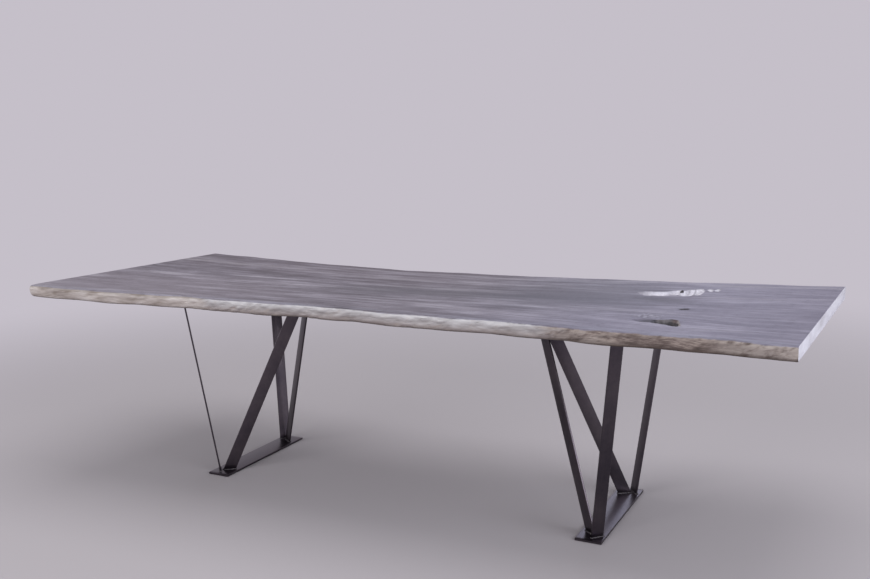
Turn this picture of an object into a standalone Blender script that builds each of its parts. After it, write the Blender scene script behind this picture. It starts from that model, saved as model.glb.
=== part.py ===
"""Dining table: a live-edge hardwood slab on two folded-looking bases of blackened flat bar.

Metres, +Z up. The origin is on the floor under the middle of the slab's box, X runs along the
slab and -Y is the front edge. The two bases are mirror images of each other across X.
"""

import math

import bmesh
import bpy
import numpy as np
from mathutils import Matrix, Vector

# Slab
TOP_HEIGHT = 0.760
SLAB_THICK = 0.045
LEFT_END_X = -1.405
RIGHT_END_X = 1.385
LEFT_END_SKEW = 0.068
RIGHT_END_SKEW = 0.032
FRONT_REACH = 0.497
FRONT_FLARE = 0.055
FLARE_START_X = -0.150
WORN_CORNER = 0.011
WAIST_X = -0.240
WAIST_REACH = 0.350
WAIST_RISE_LEFT = 0.156
WAIST_RISE_RIGHT = 0.196
WAIST_RUN_LEFT = 1.100
WAIST_RUN_RIGHT = 1.556
EDGE_STATIONS = 84
END_STATIONS = 16

# Slow waves of the two live edges in plan: height and length of each
FRONT_SWELL = 0.0060
FRONT_SWELL_RUN = 0.610
FRONT_RIPPLE = 0.0035
FRONT_RIPPLE_RUN = 0.230
REAR_SWELL = 0.0040
REAR_SWELL_RUN = 0.520
REAR_RIPPLE = 0.0020
REAR_RIPPLE_RUN = 0.190

# Edge section of the slab, from the top arris down: depth, live-edge inset, sawn-end inset
ARRIS_DEPTH = 0.003
ARRIS_INSET = 0.004
BELLY_DEPTH = 0.014
UNDERCUT_DEPTH = 0.034
UNDERCUT_INSET = 0.003
FOOT_INSET = 0.008
SAWN_EASE = 0.0015
LIVE_WAVE = 0.0022
LIVE_WAVE_RUN_FRONT = 0.310
LIVE_WAVE_RUN_REAR = 0.370

# Natural hollows in the top: centre, half length, half width, depth, turn from X
PALE_HOLLOW = (0.912, 0.230, 0.142, 0.060, 0.028, math.radians(41.0))
KNOT_HOLLOW = (0.980, -0.308, 0.064, 0.041, 0.024, math.radians(-20.0))

# Bases
BASE_SPACING = 1.506
BASE_MID_X = -0.012
BASE_MID_Y = 0.006
FLOOR_PLATE_LENGTH = 0.520
FLOOR_PLATE_WIDTH = 0.090
FLOOR_PLATE_THICK = 0.008
BAR_WIDTH = 0.045
BAR_THICK = 0.006
FOOT_X = 0.019
FOOT_Y = 0.221
FOOT_GAP = 0.008
OUTER_TURN = math.radians(42.0)
INNER_TURN = math.radians(35.4)
INNER_LEAN = 0.313
EDGE_BREAK = 0.0008

# Plates under the slab
CROSS_BAR_LENGTH = 0.740
CROSS_BAR_WIDTH = 0.050
LEG_END_MARGIN = 0.0767
SPINE_WIDTH = 0.045
APEX_PLATE_LENGTH = 0.110
APEX_PLATE_WIDTH = 0.170
TOP_BAR_THICK = 0.006

# Fixings
BOLT_RADIUS = 0.004
BOLT_LENGTH = 0.025
HEAD_ACROSS_FLATS = 0.013
HEAD_HEIGHT = 0.0053
WASHER_RADIUS = 0.010
WASHER_THICK = 0.0016
INSERT_RADIUS = 0.006
INSERT_LENGTH = 0.020
INSERT_HOLE_DEPTH = 0.024
SLOT_END_MARGIN = 0.028
HOLE_BOLT_Y = 0.110
APEX_BOLT_Y = 0.062
SLOT_TRAVEL = 0.012
ROUND_STEPS = 24

# Clearances
SEAT_GAP = 0.0003
BORE_GAP = 0.0003
HOLE_GAP = 0.0005
CUT_THROUGH = 0.010

SLAB_BOTTOM = TOP_HEIGHT - SLAB_THICK
TOP_BAR_TOP = SLAB_BOTTOM - SEAT_GAP
TOP_BAR_BOTTOM = TOP_BAR_TOP - TOP_BAR_THICK
LEG_TOP = TOP_BAR_BOTTOM - SEAT_GAP
LEG_FOOT = FLOOR_PLATE_THICK + SEAT_GAP
LEG_RISE = LEG_TOP - LEG_FOOT
WASHER_TOP = TOP_BAR_BOTTOM - SEAT_GAP
HEAD_TOP = WASHER_TOP - WASHER_THICK - SEAT_GAP
SLOT_BOLT_Y = CROSS_BAR_LENGTH / 2 - SLOT_END_MARGIN
OUTER_LEAN = (CROSS_BAR_LENGTH / 2 - LEG_END_MARGIN - FOOT_Y) / math.sin(OUTER_TURN)


def clear_scene():
    for obj in list(bpy.data.objects):
        bpy.data.objects.remove(obj, do_unlink=True)


def make_collection(name):
    collection = bpy.data.collections.new(name)
    bpy.context.scene.collection.children.link(collection)
    return collection


def make_material(name, colour, roughness, metallic):
    material = bpy.data.materials.new(name)
    material.use_nodes = True
    shader = material.node_tree.nodes["Principled BSDF"]
    shader.inputs["Base Color"].default_value = (*colour, 1.0)
    shader.inputs["Roughness"].default_value = roughness
    shader.inputs["Metallic"].default_value = metallic
    return material


clear_scene()
TABLE = make_collection("dining_table")
CUTTERS = make_collection("cutters")
WOOD = make_material("tabletop_wood", (0.235, 0.212, 0.255), 0.50, 0.0)
STEEL = make_material("blackened_steel", (0.034, 0.030, 0.034), 0.45, 0.6)
ZINC = make_material("zinc_steel", (0.48, 0.49, 0.50), 0.35, 1.0)
BRASS = make_material("insert_brass", (0.56, 0.43, 0.20), 0.35, 1.0)


def add_part(name, bm, material):
    mesh = bpy.data.meshes.new(name)
    bm.normal_update()
    bm.to_mesh(mesh)
    bm.free()
    mesh.materials.append(material)
    obj = bpy.data.objects.new(name, mesh)
    TABLE.objects.link(obj)
    return obj


def add_cutter(name, bm):
    mesh = bpy.data.meshes.new(name)
    bm.normal_update()
    bm.to_mesh(mesh)
    bm.free()
    obj = bpy.data.objects.new(name, mesh)
    CUTTERS.objects.link(obj)
    obj.hide_render = True
    obj.display_type = "WIRE"
    return obj


def cut(obj, cutter):
    boolean = obj.modifiers.new(cutter.name, "BOOLEAN")
    boolean.operation = "DIFFERENCE"
    boolean.solver = "EXACT"
    boolean.object = cutter


def break_edges(obj):
    bevel = obj.modifiers.new("edge_break", "BEVEL")
    bevel.width = EDGE_BREAK
    bevel.segments = 1
    bevel.limit_method = "ANGLE"


def box_mesh(size, centre):
    bm = bmesh.new()
    bmesh.ops.create_cube(bm, size=1.0, matrix=Matrix.Translation(centre) @ Matrix.Diagonal((*size, 1.0)))
    return bm


def cylinder(bm, radius, low, high, x, y, steps=ROUND_STEPS):
    """A round bar standing on z = low, added to bm."""
    middle = Matrix.Translation((x, y, (low + high) / 2))
    made = bmesh.ops.create_cone(
        bm,
        cap_ends=True,
        segments=steps,
        radius1=radius,
        radius2=radius,
        depth=high - low,
        matrix=middle,
    )
    return made["verts"]


def ring_mesh(outer, bore, low, high, x, y):
    """A tube made of the outer cylinder's sides, the bore's sides and two flat rings between them."""
    bm = bmesh.new()
    turns = np.linspace(0.0, 2.0 * math.pi, ROUND_STEPS, endpoint=False)
    loops = []
    for radius, z in ((outer, low), (outer, high), (bore, high), (bore, low)):
        loops.append([bm.verts.new((x + radius * math.cos(a), y + radius * math.sin(a), z)) for a in turns])
    for near, far in zip(loops, loops[1:] + loops[:1]):
        for i in range(ROUND_STEPS):
            j = (i + 1) % ROUND_STEPS
            bm.faces.new((near[i], near[j], far[j], far[i]))
    return bm


def wave(x, height, run, phase):
    """A sine of this height along X that repeats after each run."""
    return height * np.sin(2 * math.pi * x / run + phase)


def front_edge(x):
    """Y of the front live edge: straight to the right, flaring out toward the left end, gently waved."""
    flare = FRONT_FLARE * np.clip((FLARE_START_X - x) / (FLARE_START_X - LEFT_END_X), 0.0, None) ** 1.3
    waves = wave(x, FRONT_SWELL, FRONT_SWELL_RUN, 2.4) + wave(x, FRONT_RIPPLE, FRONT_RIPPLE_RUN, 0.7)
    return -FRONT_REACH - flare + waves


def rear_edge(x):
    """Y of the rear live edge: a waist left of the middle with a curved rise to each end, gently waved."""
    away = x - WAIST_X
    left = WAIST_RISE_LEFT * (np.clip(-away, 0.0, None) / WAIST_RUN_LEFT) ** 1.45
    right = WAIST_RISE_RIGHT * (np.clip(away, 0.0, None) / WAIST_RUN_RIGHT) ** 1.65
    waves = wave(x, REAR_SWELL, REAR_SWELL_RUN, 1.1) + wave(x, REAR_RIPPLE, REAR_RIPPLE_RUN, 0.3)
    return WAIST_REACH + left + right + waves


def slab_ring(live_inset, end_inset, phase):
    """Points of one level line round the slab: front edge, right end, rear edge, left end."""
    along = np.linspace(0.0, 1.0, EDGE_STATIONS)
    across = 0.5 - 0.5 * np.cos(np.linspace(0.0, math.pi, END_STATIONS))
    worn_end = WORN_CORNER * np.clip(1.0 - across / 0.06, 0.0, None) ** 2
    worn_front = 0.7 * WORN_CORNER * np.clip(1.0 - along / 0.03, 0.0, None) ** 2
    left_x = LEFT_END_X + LEFT_END_SKEW * across + end_inset + worn_end
    right_x = RIGHT_END_X + RIGHT_END_SKEW * across - end_inset
    front_x = left_x[0] + (right_x[0] - left_x[0]) * along
    rear_x = left_x[-1] + (right_x[-1] - left_x[-1]) * along
    inset_front = live_inset + wave(front_x, LIVE_WAVE, LIVE_WAVE_RUN_FRONT, phase)
    inset_rear = live_inset + wave(rear_x, LIVE_WAVE, LIVE_WAVE_RUN_REAR, phase + 1.7)
    front_y = front_edge(front_x) + inset_front + worn_front
    rear_y = rear_edge(rear_x) - inset_rear
    right_y = front_y[-1] + (rear_y[-1] - front_y[-1]) * across
    left_y = front_y[0] + (rear_y[0] - front_y[0]) * across
    front = np.stack([front_x, front_y], 1)
    right = np.stack([right_x, right_y], 1)
    rear = np.stack([rear_x, rear_y], 1)
    left = np.stack([left_x, left_y], 1)
    return np.concatenate([front[:-1], right[:-1], rear[:0:-1], left[:0:-1]])


def slab_levels():
    """The slab's level lines from the bottom up, as (z, points)."""
    sections = (
        (SLAB_THICK, FOOT_INSET, SAWN_EASE, 0.0),
        (SLAB_THICK - ARRIS_DEPTH, FOOT_INSET - ARRIS_INSET, 0.0, 0.5),
        (UNDERCUT_DEPTH, UNDERCUT_INSET, 0.0, 1.3),
        (BELLY_DEPTH, 0.0, 0.0, 2.2),
        (ARRIS_DEPTH, ARRIS_INSET / 4, 0.0, 2.8),
        (0.0, ARRIS_INSET, SAWN_EASE, 3.1),
    )
    return [(TOP_HEIGHT - depth, slab_ring(live, end, phase)) for depth, live, end, phase in sections]


def hollow_cutter(name, hollow):
    """A sphere pressed into an ellipsoid whose middle lies on the slab's top."""
    x, y, half_length, half_width, depth, turn = hollow
    place = Matrix.Translation((x, y, TOP_HEIGHT)) @ Matrix.Rotation(turn, 4, "Z")
    bm = bmesh.new()
    bmesh.ops.create_uvsphere(
        bm,
        u_segments=28,
        v_segments=14,
        radius=1.0,
        matrix=place @ Matrix.Diagonal((half_length, half_width, depth, 1.0)),
    )
    return add_cutter(name, bm)


def build_slab(fixings):
    bm = bmesh.new()
    rings = []
    for z, points in slab_levels():
        rings.append([bm.verts.new((x, y, z)) for x, y in points])
    count = len(rings[0])
    for low, high in zip(rings, rings[1:]):
        for i in range(count):
            j = (i + 1) % count
            bm.faces.new((low[i], low[j], high[j], high[i]))
    bm.faces.new(rings[0][::-1])
    bm.faces.new(rings[-1])
    slab = add_part("tabletop_slab", bm, WOOD)
    cut(slab, hollow_cutter("pale_hollow_cutter", PALE_HOLLOW))
    cut(slab, hollow_cutter("knot_hollow_cutter", KNOT_HOLLOW))
    holes = bmesh.new()
    for x, y, _ in fixings:
        cylinder(holes, INSERT_RADIUS + BORE_GAP, SLAB_BOTTOM - CUT_THROUGH, SLAB_BOTTOM + INSERT_HOLE_DEPTH, x, y)
    cut(slab, add_cutter("insert_hole_cutter", holes))


def leaning_bar(name, turn, section, foot, lean):
    """A flat bar cut level at both ends: a box whose top is slid sideways by lean, in the bar's own plane.

    turn is the direction of the lean in plan, and section the level size along and across it."""
    along = Vector((math.cos(turn), math.sin(turn), 0.0))
    across = Vector((-along.y, along.x, 0.0))
    rise = along * lean + Vector((0.0, 0.0, LEG_RISE))
    middle = Vector((*foot, LEG_FOOT)) + rise / 2
    frame = Matrix((along * section[0], across * section[1], rise)).transposed().to_4x4()
    bm = bmesh.new()
    bmesh.ops.create_cube(bm, size=1.0, matrix=Matrix.Translation(middle) @ frame)
    bmesh.ops.recalc_face_normals(bm, faces=bm.faces)
    obj = add_part(name, bm, STEEL)
    break_edges(obj)


def build_leg_pair(side, end, x, inward, front):
    """One foot's two legs. inward is +1 where the middle of the table lies toward +X, front is -1 or +1 in Y."""
    outer_way = np.array([math.cos(OUTER_TURN) * inward, -math.sin(OUTER_TURN) * front])
    inner_way = np.array([math.cos(INNER_TURN) * inward, -math.sin(INNER_TURN) * front])
    outer_level = BAR_THICK * math.hypot(1.0, OUTER_LEAN / LEG_RISE)
    inner_level = BAR_WIDTH * math.hypot(1.0, INNER_LEAN / LEG_RISE)
    outer_foot = np.array([x - FOOT_X * inward, BASE_MID_Y + FOOT_Y * front])
    inner_foot = outer_foot + outer_way * (outer_level / 2 + FOOT_GAP) + inner_way * inner_level / 2
    leaning_bar(
        f"{side}_{end}_outer_leg",
        math.atan2(-outer_way[1], -outer_way[0]),
        (outer_level, BAR_WIDTH),
        outer_foot,
        OUTER_LEAN,
    )
    leaning_bar(
        f"{side}_{end}_inner_leg",
        math.atan2(inner_way[1], inner_way[0]),
        (inner_level, BAR_THICK),
        inner_foot,
        INNER_LEAN,
    )
    outer_top = outer_foot - outer_way * OUTER_LEAN
    inner_top = inner_foot + inner_way * INNER_LEAN
    return outer_top, inner_top


def bolt_hole_cutter(name, spots):
    """Round holes through a top bar, drawn out along Y into slots where the spot asks for travel."""
    bm = bmesh.new()
    for x, y, travel in spots:
        low = TOP_BAR_BOTTOM - CUT_THROUGH
        high = TOP_BAR_TOP + CUT_THROUGH
        for vert in cylinder(bm, BOLT_RADIUS + HOLE_GAP, low, high, x, y):
            vert.co.y += math.copysign(travel / 2, vert.co.y - y)
    return add_cutter(name, bm)


def about(centre, length):
    """The two ends of a length laid evenly about a centre."""
    return centre - length / 2, centre + length / 2


def flat_bar(name, x_range, y_range, z_range):
    size = [high - low for low, high in (x_range, y_range, z_range)]
    centre = [(high + low) / 2 for low, high in (x_range, y_range, z_range)]
    obj = add_part(name, box_mesh(size, centre), STEEL)
    break_edges(obj)
    return obj


def build_base(side, x, inward):
    """One base: floor plate, four legs and the three top bars. Returns the spots of its bolts."""
    flat_bar(
        f"{side}_floor_plate",
        about(x, FLOOR_PLATE_WIDTH),
        about(BASE_MID_Y, FLOOR_PLATE_LENGTH),
        (0.0, FLOOR_PLATE_THICK),
    )
    build_leg_pair(side, "front", x, inward, -1)
    outer_top, inner_top = build_leg_pair(side, "rear", x, inward, 1)
    cross_x = outer_top[0]
    apex_x = inner_top[0]
    level = (TOP_BAR_BOTTOM, TOP_BAR_TOP)
    cross = flat_bar(
        f"{side}_cross_bar",
        about(cross_x, CROSS_BAR_WIDTH),
        about(BASE_MID_Y, CROSS_BAR_LENGTH),
        level,
    )
    apex = flat_bar(
        f"{side}_apex_plate",
        about(apex_x, APEX_PLATE_LENGTH),
        about(BASE_MID_Y, APEX_PLATE_WIDTH),
        level,
    )
    spine_ends = sorted(
        (
            cross_x + inward * (CROSS_BAR_WIDTH / 2 + SEAT_GAP),
            apex_x - inward * (APEX_PLATE_LENGTH / 2 + SEAT_GAP),
        )
    )
    flat_bar(f"{side}_spine_bar", spine_ends, about(BASE_MID_Y, SPINE_WIDTH), level)
    cross_spots = [
        (cross_x, BASE_MID_Y - SLOT_BOLT_Y, SLOT_TRAVEL),
        (cross_x, BASE_MID_Y - HOLE_BOLT_Y, 0.0),
        (cross_x, BASE_MID_Y + HOLE_BOLT_Y, 0.0),
        (cross_x, BASE_MID_Y + SLOT_BOLT_Y, SLOT_TRAVEL),
    ]
    apex_spots = [
        (apex_x, BASE_MID_Y - APEX_BOLT_Y, 0.0),
        (apex_x, BASE_MID_Y + APEX_BOLT_Y, 0.0),
    ]
    cut(cross, bolt_hole_cutter(f"{side}_cross_bar_cutter", cross_spots))
    cut(apex, bolt_hole_cutter(f"{side}_apex_plate_cutter", apex_spots))
    return cross_spots + apex_spots


def build_fixing(side, place, x, y):
    """A hexagon bolt with its washer below the top bar, and the threaded insert that it enters in the slab."""
    bm = bmesh.new()
    cylinder(bm, HEAD_ACROSS_FLATS / math.sqrt(3.0), HEAD_TOP - HEAD_HEIGHT, HEAD_TOP, x, y, 6)
    bolt = add_part(f"{side}_bolt_{place}", bm, ZINC)
    shank = bmesh.new()
    cylinder(shank, BOLT_RADIUS, HEAD_TOP - HEAD_HEIGHT / 2, HEAD_TOP + BOLT_LENGTH, x, y)
    union = bolt.modifiers.new("shank", "BOOLEAN")
    union.operation = "UNION"
    union.solver = "EXACT"
    union.object = add_cutter(f"{side}_shank_{place}", shank)
    bore = BOLT_RADIUS + BORE_GAP
    washer = ring_mesh(WASHER_RADIUS, bore, WASHER_TOP - WASHER_THICK, WASHER_TOP, x, y)
    add_part(f"{side}_washer_{place}", washer, ZINC)
    low = SLAB_BOTTOM + SEAT_GAP
    add_part(f"{side}_insert_{place}", ring_mesh(INSERT_RADIUS, bore, low, low + INSERT_LENGTH, x, y), BRASS)


PLACES = ("front_slot", "front_hole", "rear_hole", "rear_slot", "apex_front", "apex_rear")


def centre_on_slab():
    """Slides every piece level, so that the middle of the slab's box stands over the origin."""
    outline = np.concatenate([points for _, points in slab_levels()])
    middle = (outline.min(axis=0) + outline.max(axis=0)) / 2
    for obj in (*TABLE.objects, *CUTTERS.objects):
        obj.data.transform(Matrix.Translation((-middle[0], -middle[1], 0.0)))


def main():
    fixings = []
    for side, inward in (("left", 1), ("right", -1)):
        spots = build_base(side, BASE_MID_X - inward * BASE_SPACING / 2, inward)
        for place, (x, y, _) in zip(PLACES, spots):
            build_fixing(side, place, x, y)
        fixings += spots
    build_slab(fixings)
    centre_on_slab()


main()
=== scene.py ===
"""Looks of a dining table: a live-edge hardwood slab on two bases of blackened flat bar.

Metres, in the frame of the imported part: X runs along the slab, -Y is its front edge, Z is up from the floor.
"""

import math
from collections import namedtuple

import bpy
import numpy as np
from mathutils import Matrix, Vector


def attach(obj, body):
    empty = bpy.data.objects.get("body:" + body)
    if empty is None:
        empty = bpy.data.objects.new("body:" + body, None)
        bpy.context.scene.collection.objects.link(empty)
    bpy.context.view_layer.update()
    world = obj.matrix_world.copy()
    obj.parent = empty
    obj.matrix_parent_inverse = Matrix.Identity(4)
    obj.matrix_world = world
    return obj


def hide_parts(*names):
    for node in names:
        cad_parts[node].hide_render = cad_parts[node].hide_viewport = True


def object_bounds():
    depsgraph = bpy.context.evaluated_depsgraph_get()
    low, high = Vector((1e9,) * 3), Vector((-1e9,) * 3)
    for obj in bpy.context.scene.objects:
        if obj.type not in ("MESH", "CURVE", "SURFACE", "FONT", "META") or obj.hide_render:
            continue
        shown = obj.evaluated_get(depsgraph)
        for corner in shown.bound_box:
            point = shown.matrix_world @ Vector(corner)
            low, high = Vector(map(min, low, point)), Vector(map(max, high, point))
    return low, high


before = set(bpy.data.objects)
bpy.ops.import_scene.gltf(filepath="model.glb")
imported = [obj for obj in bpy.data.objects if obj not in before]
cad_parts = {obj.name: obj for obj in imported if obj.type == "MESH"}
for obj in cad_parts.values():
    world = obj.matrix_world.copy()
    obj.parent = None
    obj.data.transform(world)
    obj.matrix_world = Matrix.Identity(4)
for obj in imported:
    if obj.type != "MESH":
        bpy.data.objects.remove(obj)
CAD_BOX = [list(corner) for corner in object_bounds()]

# Slab, laid out as in the part's source; SLAB_MIDDLE is the point that the part's frame has at its origin
TOP_HEIGHT = 0.76
SLAB_THICK = 0.045
SLAB_MIDDLE = (0.0078995, 0.0118648)
LEFT_END_X = -1.405
RIGHT_END_X = 1.385
LEFT_END_SKEW = 0.068
RIGHT_END_SKEW = 0.032
FRONT_REACH = 0.497
FLARE_START_X = -0.15
WAIST_X = -0.24
WAIST_REACH = 0.35
MEAN_WIDTH = 0.95

# Power curves of the edges in plan, at the front to the left and from the rear waist: rise, run and power
FRONT_FLARE = (0.055, FLARE_START_X - LEFT_END_X, 1.3)
WAIST_LEFT = (0.156, 1.1, 1.45)
WAIST_RIGHT = (0.196, 1.556, 1.65)

# Worn front left corner: its depth, and the shares of the end and of the front edge that it takes
WORN_CORNER = 0.011
WORN_FRONT_RATIO = 0.7
WORN_END_SHARE = 0.06
WORN_FRONT_SHARE = 0.03

# Waves of the two live edges in plan: height, run and phase of each
FRONT_WAVES = ((0.006, 0.61, 2.4), (0.0035, 0.23, 0.7))
REAR_WAVES = ((0.004, 0.52, 1.1), (0.002, 0.19, 0.3))

# Edge section of the slab by depth below the top: live-edge inset, sawn-end inset, phase of the live wave
EDGE_DEPTHS = (0.0, 0.001, 0.003, 0.007, 0.014, 0.034, 0.042, 0.045)
LIVE_INSETS = (0.0078, 0.0048, 0.0024, 0.0006, 0.0, 0.0048, 0.0092, 0.0135)
SAWN_INSETS = (0.0015, 0.0004, 0.0, 0.0, 0.0, 0.0, 0.0, 0.0015)
WAVE_PHASES = (3.1, 3.0, 2.8, 2.6, 2.2, 1.3, 0.5, 0.0)
LIVE_WAVE = 0.0022
LIVE_RUN_FRONT = 0.31
LIVE_RUN_REAR = 0.37
LIVE_LAG_REAR = 1.7

# Relief of the stripped live edges: mean inset, and heights of its lumps, ridges and folds
BARK_INSET = 0.0012
BARK_LUMP = 0.0013
BARK_RIDGE = 0.0006
BARK_FOLD = 0.0014
FRONT_BARK_SEED = 11
REAR_BARK_SEED = 29

# Grids of the slab's faces, the depths in millimetres
GRID_ALONG = 420
GRID_ACROSS = 66
GRID_DEPTHS = (0, 1, 2, 3, 5, 8, 11, 14, 17.5, 21, 24.5, 28, 31, 34, 37, 39.5, 42, 43.5, 45)

# Bases, as in the part's source
BASE_SPACING = 1.506
BASE_MIDDLE = (-0.012 - SLAB_MIDDLE[0], 0.006 - SLAB_MIDDLE[1], 0.0)
SOLE_WIDTH = 0.09
SOLE_LENGTH = 0.52
SOLE_THICK = 0.008
BAR_WIDTH = 0.045
BAR_THICK = 0.006
FOOT_X = 0.019
FOOT_Y = 0.221
FOOT_GAP = 0.008
OUTER_TURN = math.radians(42.0)
INNER_TURN = math.radians(35.4)
INNER_LEAN = 0.313
OUTER_TOP_Y = 0.2933
OUTER_LEAN = (OUTER_TOP_Y - FOOT_Y) / math.sin(OUTER_TURN)
SEAT_GAP = 0.0003
LEG_FOOT = SOLE_THICK + SEAT_GAP
LEG_TOP = 0.7084
LEG_RISE = LEG_TOP - LEG_FOOT
ARRIS = 0.0011
BAR_STATIONS = 40

# Weld beads: size, root behind the bar's face, corner, pitch of the ripples, stations round and over
BEAD = 0.0032
BEAD_ROOT = 0.0008
BEAD_CORNER = 0.0015
RIPPLE_PITCH = 0.0021
BEAD_STATIONS = 190
BEAD_STEPS = 7

# Eyes in the top's grain: middle, reach, and how far the lines part round it
KNOT_EYES = ((0.975, -0.325, 0.11, 0.6), (0.985, -0.09, 0.06, 0.7), (0.9, 0.215, 0.15, 0.45))

# Dark patches on the top: middle, reach along and across, strength. The first is painted shade over the knot's
# shallow run-out, the third a small dark spot by the pale hollow's right lobes, the others stains
DARK_PATCHES = (
    (0.928, -0.32, 0.05, 0.034, 0.75),
    (0.985, -0.098, 0.032, 0.018, 0.6),
    (1.013, 0.258, 0.015, 0.009, 0.25),
    (0.63, 0.09, 0.48, 0.48, 0.44),
    (0.9, 0.045, 0.13, 0.075, 0.36),
)

# Burl beside the knot, its small bumps painted as light and dark specks (painted highlight and shade): middle,
# reach along and across
BURL = (0.912, -0.246, 0.062, 0.052)

# Rims of the natural hollows in the top, as plan corners in millimetres, anticlockwise
LEFT_LOBE = ((768, 152), (781, 127), (805, 104), (840, 111), (873, 117), (889, 140), (901, 146),
             (912, 163), (914, 200), (907, 240), (890, 264), (873, 240), (853, 209), (818, 197),
             (783, 189))
MIDDLE_LOBE = ((907, 157), (921, 137), (949, 149), (959, 169), (976, 169), (980, 211), (976, 272),
               (961, 314), (933, 288), (913, 268), (901, 236), (900, 190))
RIGHT_LOBE = ((975, 296), (985, 277), (994, 262), (1003, 268), (999, 304), (986, 320))
SMALL_LOBE = ((1001, 300), (1007, 278), (1020, 274), (1023, 300), (1018, 337), (1008, 324))
KNOT_RIM = ((931, -325), (944, -349), (962, -353), (986, -360), (1009, -373), (1026, -379), (1034, -366),
            (1029, -339), (1020, -308), (1011, -284), (998, -275), (986, -276), (969, -289), (947, -299),
            (934, -308))
CHECK_RIM = ((971, -108), (980, -113), (990, -108), (999, -99), (1002, -85), (993, -81), (983, -87),
             (975, -97))

# Bowls of the hollows: points round, smoothing passes, rings, step at the rim, lid's height, first seed
RIM_POINTS = 120
RIM_PASSES = 6
BOWL_RINGS = 25
RIM_STEP = 0.00002
LID_HEIGHT = TOP_HEIGHT + 0.01
HOLLOW_SEED = 101

# Angle in degrees past which an edge stays sharp, and numbers of the slab's finishes
SHARP = 40.0
TOP_FINISH, PALE_FINISH, KNOT_FINISH = range(3)

# Camera: place, turn to the right of +Y, tip downwards, roll, lens and sensor in millimetres
CAMERA_PLACE = (1.669, -3.1958, 1.3465)
CAMERA_YAW = math.radians(-26.773)
CAMERA_PITCH = math.radians(9.462)
CAMERA_ROLL = math.radians(0.79)
LENS = 41.01
SENSOR = 36.0

# Studio
BACKDROP = (0.56, 0.525, 0.585, 1.0)
FLOOR_COLOUR = (0.42, 0.39, 0.415, 1.0)
FILL_COLOUR = (0.5, 0.5, 0.51, 1.0)
FLOOR_REACH = 30.0
FLOOR_DROP = 0.0002
FADE_START = 1.6
FADE_END = 5.0


class Shade:
    """A value in a material's nodes. Arithmetic on it adds Math nodes."""

    def __init__(self, paint, socket):
        self.paint = paint
        self.socket = socket

    def __add__(self, other):
        return self.paint.maths("ADD", self, other)

    def __sub__(self, other):
        return self.paint.maths("SUBTRACT", self, other)

    def __rsub__(self, other):
        return self.paint.maths("SUBTRACT", other, self)

    def __mul__(self, other):
        return self.paint.maths("MULTIPLY", self, other)

    def __truediv__(self, other):
        return self.paint.maths("DIVIDE", self, other)

    def __pow__(self, other):
        return self.paint.maths("POWER", self, other)

    def __abs__(self):
        return self.paint.maths("ABSOLUTE", self)

    __radd__ = __add__
    __rmul__ = __mul__


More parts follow.
